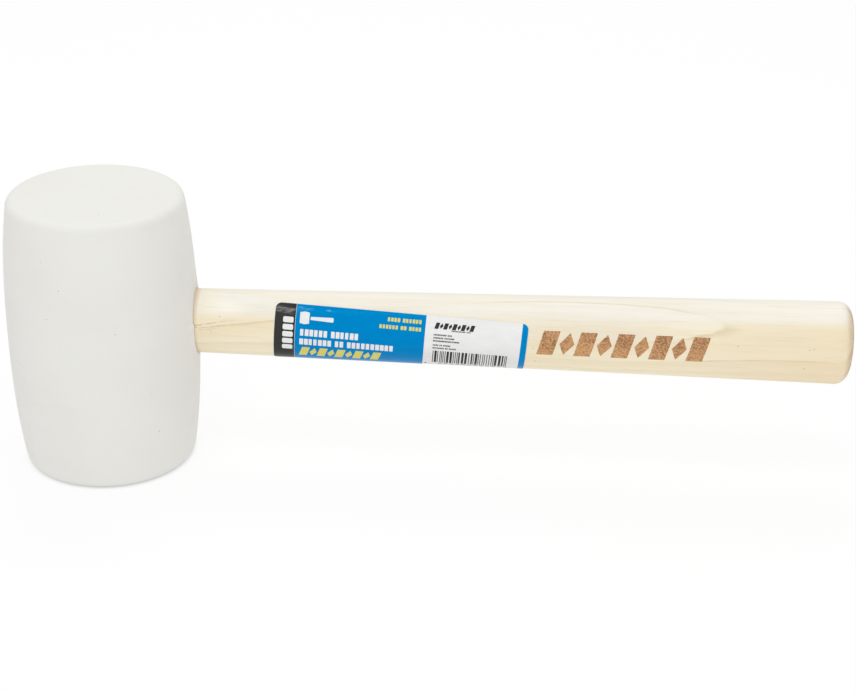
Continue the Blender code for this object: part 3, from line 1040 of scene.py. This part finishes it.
def wrapped_film(name, outlines, clearance, thickness):
    """Flat outlines in the label's plane, made into one thin film and wrapped round the handle."""
    flat = bmesh.new()
    for outline in outlines:
        flat.faces.new([flat.verts.new((u, v, 0)) for u, v in outline])
    slice_up(flat, 1, spaced(0, LABEL_HEIGHT, FILM_STEP_DOWN)[1:], FILM_SNAP)
    slice_up(flat, 0, spaced(0, LABEL_LENGTH, FILM_STEP_ALONG)[1:], FILM_SNAP)
    top = bmesh.ops.extrude_face_region(flat, geom=list(flat.faces))
    for element in top["geom"]:
        if isinstance(element, bmesh.types.BMVert):
            element.co.z = thickness
    for vertex in flat.verts:
        vertex.co = wrapped(vertex.co.x, vertex.co.y, clearance + vertex.co.z)
    bmesh.ops.recalc_face_normals(flat, faces=list(flat.faces))
    mesh = finished(name, flat)
    shade(mesh)
    return mesh


def field(start, end, left=False, right=False):
    """A coloured field of the label, from start to end along it, rounded at the ends asked for."""
    low = FIELD_EDGE
    high = LABEL_HEIGHT / MM - FIELD_EDGE
    radius = LABEL_CORNER_RADIUS / MM - FIELD_EDGE
    corners = []
    ends = ((end, high, right), (start, high, left), (start, low, left), (end, low, right))
    for corner, (u, v, rounded) in enumerate(ends):
        if not rounded:
            corners.append((u * MM, v * MM))
            continue
        centre_u = u - radius if u == end else u + radius
        centre_v = v - radius if v == high else v + radius
        for step in range(9):
            turn = math.pi / 2 * (corner + step / 8)
            cu = centre_u + radius * math.cos(turn)
            cv = centre_v + radius * math.sin(turn)
            corners.append((cu * MM, cv * MM))
    return corners


def lines_of_blocks(lines):
    """Lines of plain upright blocks of one height, in groups, which say nothing."""
    blocks = []
    for u, v, height, counts, pitch, seed in lines:
        chance = random.Random(seed)
        for count in counts:
            for _ in range(count):
                width = pitch * chance.uniform(0.66, 0.84)
                blocks.append(block(u, v, width, height, radius=min(width, height) * 0.12))
                u += pitch
            u += 0.6 * pitch
    return blocks


def motif(u, v, height):
    """The plain motif again, its top left corner at (u, v)."""
    middle_u = u + (4 * MOTIF_PITCH + MOTIF_BAR_HALF + MOTIF_SLANT / 2) * height
    shapes = []
    for middle, half_width, lozenge in motif_elements():
        centre = middle_u + middle * height
        if lozenge:
            rise = MOTIF_LOZENGE_RISE * height
            lean = MOTIF_SLANT * rise
            side = half_width * height
            corners = [(centre - lean, v + height / 2 + rise), (centre - side, v + height / 2)]
            corners += [(centre + lean, v + height / 2 - rise), (centre + side, v + height / 2)]
            shapes.append([(cu * MM, cv * MM) for cu, cv in corners])
        else:
            half = half_width * height
            shapes.append(block(centre - half, v, 2 * half, height, slant=MOTIF_SLANT))
    return shapes


# Where the label's printed fields end, in millimetres from its left end, and its plain edge and line
BLACK_END = 9.8
BLUE_END = 70.4
WHITE_END = 115.05
FIELD_EDGE = 0.16
THIN_LINE = 0.14

# Lines of blocks on the label: left end, top and height in millimetres, how many blocks are in each
# group, their pitch, and a seed for their widths
TITLE_LINES = (
    (12.4, 11.8, 3.3, (6, 6), 2.2, 1),
    (12.2, 16.6, 3.3, (7, 2, 10), 2.2, 2),
)
NOTE_LINES = (
    (52.7, 2.7, 1.8, (4, 6), 1.52, 3),
    (49.1, 6.2, 1.8, (6, 2, 4), 1.50, 4),
)
SMALL_LINES = (
    (82.6, 6.25, 0.55, (10, 3), 0.66, 5),
    (74.5, 8.5, 0.75, (9, 3), 0.68, 85),
    (74.5, 10.0, 0.75, (7, 7), 0.68, 100),
    (74.5, 11.5, 0.75, (18,), 0.68, 115),
    (74.5, 13.7, 0.75, (4, 2, 5), 0.68, 137),
    (74.5, 15.3, 0.75, (8, 2, 5), 0.68, 153),
)

# Rows of equal marks: how many, where the first starts, the steps to the next, and each one's width,
# height and corner radius, all in millimetres
CODE_MARKS = (5, (4.1, 6.5), (0, 3.5), (4.9, 2.7, 0.7))
LONE_DASH = (1, (71.4, 26.9), (0, 0), (0.9, 1.0))
DASHES = (12, (77.6, 26.8), (2.8, 0), (1.8, 0.6))

# A small mallet lying on its side: its head and its handle, in millimetres
SIGN_HEAD = ((11.9, 3.9), (14.1, 3.5), (16.3, 3.9), (16.3, 9.0), (14.1, 9.4), (11.9, 9.0))
SIGN_HANDLE = ((16.9, 5.75), (27.3, 5.35), (27.6, 5.7), (27.6, 7.2), (27.3, 7.55), (16.9, 7.15))

# The upright bars, in millimetres
BARS_START = 74.8
BARS_END = 110.0
BARS_TOP = 17.2
BAR_HEIGHT = 8.8
BAR_WIDTHS = (0.36, 0.36, 0.7, 1.05)
BAR_GAPS = (0.36, 0.5, 0.75)


def row_of_marks(count, start, step, size):
    return [block(start[0] + step[0] * i, start[1] + step[1] * i, *size) for i in range(count)]


def size_sign():
    return [[(u * MM, v * MM) for u, v in outline] for outline in (SIGN_HEAD, SIGN_HANDLE)]


def small_print():
    """The small lines of blocks, and the dashes under the bars."""
    return lines_of_blocks(SMALL_LINES) + row_of_marks(*LONE_DASH) + row_of_marks(*DASHES)


def bar_pattern():
    """Upright bars of chance widths, with nothing to read in them."""
    chance = random.Random(8)
    bars = []
    u = BARS_START
    while u < BARS_END:
        width = chance.choice(BAR_WIDTHS)
        bars.append(block(u, BARS_TOP, width, BAR_HEIGHT))
        u += width + chance.choice(BAR_GAPS)
    return bars


def add_film(name, outlines, clearance, thickness, ink, *nodes):
    mesh = wrapped_film(name, outlines, clearance, thickness)
    add_piece(name, mesh, ink, "label_vinyl", *nodes)


def make_label():
    # The black and blue vinyl carry painted glare near the label's upper left corner.
    black = vinyl("label_black", (0.030, 0.030, 0.028), glare_colour=(0.24, 0.24, 0.235))
    blue = vinyl("label_blue", (0.0, 0.213, 0.53), (0, 0.8, 1), glare_colour=(0.16, 0.40, 0.64))
    white = vinyl("label_white", (0.77, 0.77, 0.765))
    yellow = vinyl("label_yellow", (0.68, 0.62, 0.16))
    dark = vinyl("label_dark", (0.03, 0.03, 0.032))
    grey = vinyl("label_grey", (0.08, 0.08, 0.085))

    sheet = [block(0, 0, LABEL_LENGTH / MM, LABEL_HEIGHT / MM, radius=LABEL_CORNER_RADIUS / MM)]
    add_film("label_sheet", sheet, LABEL_GAP, LABEL_THICKNESS, white, "label")

    fields = (
        ("label_black_field", field(FIELD_EDGE, BLACK_END, left=True), black),
        ("label_blue_field", field(BLACK_END + THIN_LINE, BLUE_END), blue),
        ("label_blue_stripe", field(WHITE_END, LABEL_LENGTH / MM - 0.5 * FIELD_EDGE, right=True), blue),
    )
    clearance = LABEL_GAP + LABEL_THICKNESS + INK_GAP
    for name, outline, ink in fields:
        add_film(name, [outline], clearance, INK_THICKNESS, ink)

    prints = (
        ("label_code_marks", row_of_marks(*CODE_MARKS), white),
        ("label_size_sign", size_sign(), white),
        ("label_title_lines", lines_of_blocks(TITLE_LINES), white),
        ("label_banner", motif(11.9, 21.4, 6.0), yellow),
        ("label_note_lines", lines_of_blocks(NOTE_LINES), yellow),
        ("label_maker_mark", motif(74.5, 3.1, 2.9), dark),
        ("label_small_print", small_print(), grey),
        ("label_bar_pattern", bar_pattern(), dark),
    )
    clearance += INK_THICKNESS + INK_GAP
    for name, outlines, ink in prints:
        add_film(name, outlines, clearance, INK_THICKNESS, ink)


# ---- stage, light and camera

FLOOR_HALF_SIZE = 6 * METRE
WORLD_STRENGTH = 0.78

# Each softbox: its name, place and target, its width and height, its power in watts, and its colour
SOFTBOXES = (
    ("key", (0.1, -0.41, 1.2), (0.15, 0, 0.07), 0.9, 0.3, 2.65, (0.98, 1, 0.98)),
    ("back", (0.1, 0.65, 1.2), (0.15, 0, 0.07), 1.0, 0.5, 3.15, (0.98, 1, 0.98)),
    ("front", (0.1, -1.1, 0.45), (0.1, 0, 0.07), 1.3, 0.8, 1.4, (1, 1, 1)),
    ("glint", (-0.13, -1.0, 0.92), (0.1, 0, 0.07), 0.26, 0.05, 0.6, (1, 1, 1)),
)

# The camera's target and its place round it
CAMERA_TARGET = (0.15445, -0.0011, 0.06225)
CAMERA_AZIMUTH = math.radians(3.078)
CAMERA_ELEVATION = math.radians(26.0)
CAMERA_ROLL = math.radians(0.693)
CAMERA_DISTANCE = 0.8926
CAMERA_LENS = 79.54


def make_floor():
    shape = bmesh.new()
    bmesh.ops.create_grid(shape, x_segments=8, y_segments=8, size=FLOOR_HALF_SIZE)
    floor = add_object("floor", finished("floor", shape))
    floor.data.materials.append(pale_floor())


def aim(placed, target):
    placed.rotation_euler = (Vector(target) - placed.location).to_track_quat("-Z", "Y").to_euler()


def add_softbox(name, place, target, width, height, power, colour):
    lamp = bpy.data.lights.new(name, "AREA")
    lamp.color = colour
    lamp.shape = "RECTANGLE"
    lamp.size = width
    lamp.size_y = height
    lamp.energy = power
    softbox = add_object(name, lamp)
    softbox.location = place
    softbox.visible_camera = False
    aim(softbox, target)


def make_light():
    world = bpy.data.worlds.new("studio")
    world.use_nodes = True
    background = world.node_tree.nodes["Background"]
    background.inputs["Color"].default_value = (1, 1, 1, 1)
    background.inputs["Strength"].default_value = WORLD_STRENGTH
    bpy.context.scene.world = world
    for softbox in SOFTBOXES:
        add_softbox(*softbox)


def make_camera():
    right = Vector((math.cos(CAMERA_AZIMUTH), math.sin(CAMERA_AZIMUTH), 0))
    level_back = Vector((math.sin(CAMERA_AZIMUTH), -math.cos(CAMERA_AZIMUTH), 0))
    back = level_back * math.cos(CAMERA_ELEVATION) + Vector((0, 0, math.sin(CAMERA_ELEVATION)))
    up = back.cross(right)
    rolled_right = right * math.cos(CAMERA_ROLL) + up * math.sin(CAMERA_ROLL)
    rolled_up = up * math.cos(CAMERA_ROLL) - right * math.sin(CAMERA_ROLL)
    lens = bpy.data.cameras.new("camera")
    lens.lens = CAMERA_LENS
    lens.sensor_width = 36
    lens.clip_start = 0.01
    camera = add_object("camera", lens)
    turned = Matrix((rolled_right, rolled_up, back)).transposed().to_4x4()
    camera.matrix_world = Matrix.Translation(Vector(CAMERA_TARGET) + back * CAMERA_DISTANCE) @ turned
    bpy.context.scene.camera = camera


bpy.context.scene.view_settings.view_transform = "Standard"
make_camera()
make_light()
make_floor()
make_head(white_rubber())
make_handle(pale_hardwood())
make_wedges(wedge_hardwood(), wedge_steel())
make_label()
